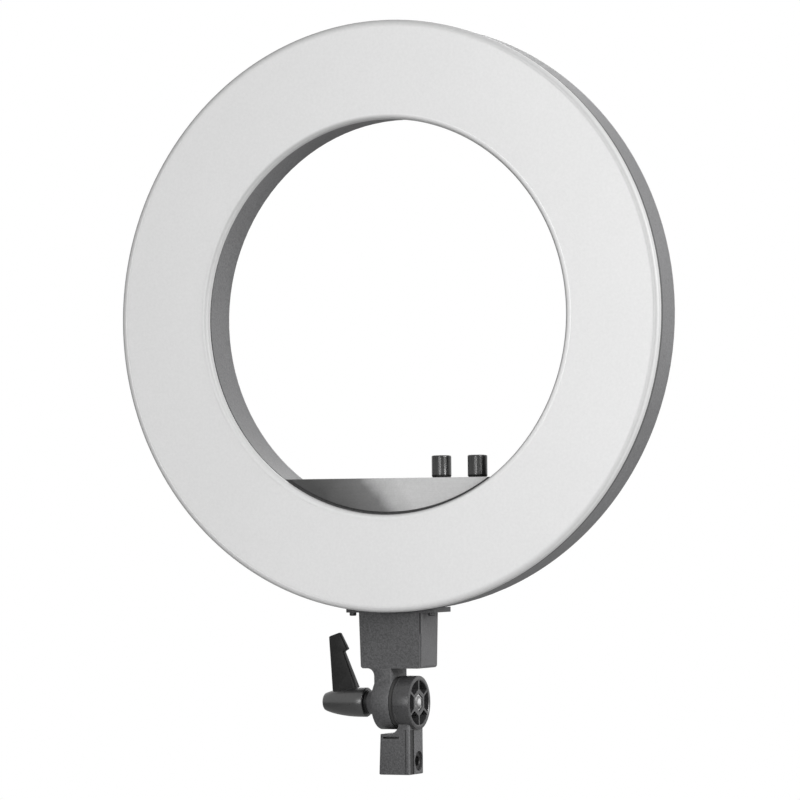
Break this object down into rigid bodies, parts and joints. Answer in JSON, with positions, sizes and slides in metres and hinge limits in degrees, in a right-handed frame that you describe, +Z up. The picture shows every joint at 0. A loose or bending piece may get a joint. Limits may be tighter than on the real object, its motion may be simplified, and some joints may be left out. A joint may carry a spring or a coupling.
{
  "type": "ring light head",
  "caption": "Ring-shaped LED lamp head with a milk-white front cover and a control box in its hole, on a tilting adapter for a light stand, clamped by a ratchet lever.",
  "frame": {"origin": "centre of the stand socket's mouth, in the underside of the adapter block", "axes": "+Z up along the socket, -Y towards the subject (the lit side), +X to the right seen from the lit side"},
  "size_m": [0.4815, 0.0479, 0.6138],
  "materials": {
    "opal_cover": "milk-white, satin, lets light through",
    "housing_paint": "silver-grey paint on sheet metal, satin",
    "silver_plate": "fine brushed, satin",
    "bracket_plastic": "dark grey moulded nylon, fine grain",
    "drum_plastic": "dark grey moulded nylon, fine grain",
    "lever_plastic": "black, semi-gloss",
    "knob_plastic": "black, glossy",
    "black_plastic": "black, fine grain",
    "bright_steel": "zinc plated",
    "black_steel": "black oxide",
    "brass": "turned",
    "friction_pad": "dark fibre pad",
    "board_white": "white solder mask",
    "board_green": "green solder mask",
    "led_warm": "amber phosphor",
    "led_cool": "pale yellow phosphor",
    "component_black": "moulded parts",
    "display_pane": "dark tinted pane"
  },
  "bodies": {
    "adapter": {"stand_adapter": "drum_plastic", "lock_bush": "black_steel", "clamp_bolt": "bright_steel", "friction_disc": "friction_pad"},
    "head": {"board_links": "component_black", "board_screws": "bright_steel", "board_spacers": "brass", "bracket_screws": "black_steel", "brightness_pot": "component_black", "colour_pot": "component_black", "control_board": "board_green", "control_case": "housing_paint", "control_front_plate": "silver_plate", "control_rear_panel": "black_plastic", "cool_leds": "led_cool", "dc_jack": "black_plastic", "display_module": "component_black", "display_window": "display_pane", "driver_parts": "component_black", "front_diffuser": "opal_cover", "housing_screws": "bright_steel", "led_board_1": "board_white", "led_board_2": "board_white", "led_board_3": "board_white", "led_board_4": "board_white", "mount_backing_plate": "bright_steel", "panel_screws": "bright_steel", "pivot_sleeve": "brass", "pot_nuts": "bright_steel", "power_switch_body": "black_plastic", "rear_housing": "housing_paint", "tilt_bracket": "bracket_plastic", "warm_leds": "led_warm"},
    "lever": {"lever_washer": "bright_steel", "lever_insert": "black_steel", "lever_screw": "bright_steel", "lever_spring": "bright_steel"},
    "lever_grip": {"lever_handle": "lever_plastic"},
    "brightness_dial": {"brightness_shaft": "bright_steel", "brightness_knob": "knob_plastic"},
    "colour_dial": {"colour_shaft": "bright_steel", "colour_knob": "knob_plastic"},
    "rocker": {"power_rocker": "knob_plastic"}
  },
  "joints": [
    {"name": "head_tilt", "type": "hinge", "parent": "adapter", "child": "head", "pos_m": [0, 0, 0.0583], "axis": [1, 0, 0], "range_deg": [-90, 90]},
    {"name": "lever_turn", "type": "hinge", "parent": "adapter", "child": "lever", "pos_m": [0, 0, 0.0583], "axis": [1, 0, 0], "range_deg": [-170, 170]},
    {"name": "lever_lift", "type": "slide", "parent": "lever", "child": "lever_grip", "axis": [-1, 0, 0], "range_m": [0, 0.004], "stiffness_N_per_m": 600, "springref_m": -0.002, "deforming": ["lever_spring"]},
    {"name": "brightness_turn", "type": "hinge", "parent": "head", "child": "brightness_dial", "pos_m": [0.04067, -0.005, 0.253], "axis": [0, 0, 1], "range_deg": [-145, 145]},
    {"name": "colour_turn", "type": "hinge", "parent": "head", "child": "colour_dial", "pos_m": [0.07267, -0.005, 0.253], "axis": [0, 0, 1], "range_deg": [-145, 145]},
    {"name": "rocker_tip", "type": "hinge", "parent": "head", "child": "rocker", "pos_m": [-0.0008, 0.0163, 0.227], "axis": [0, 0, 1], "range_deg": [0, 18]}
  ]
}
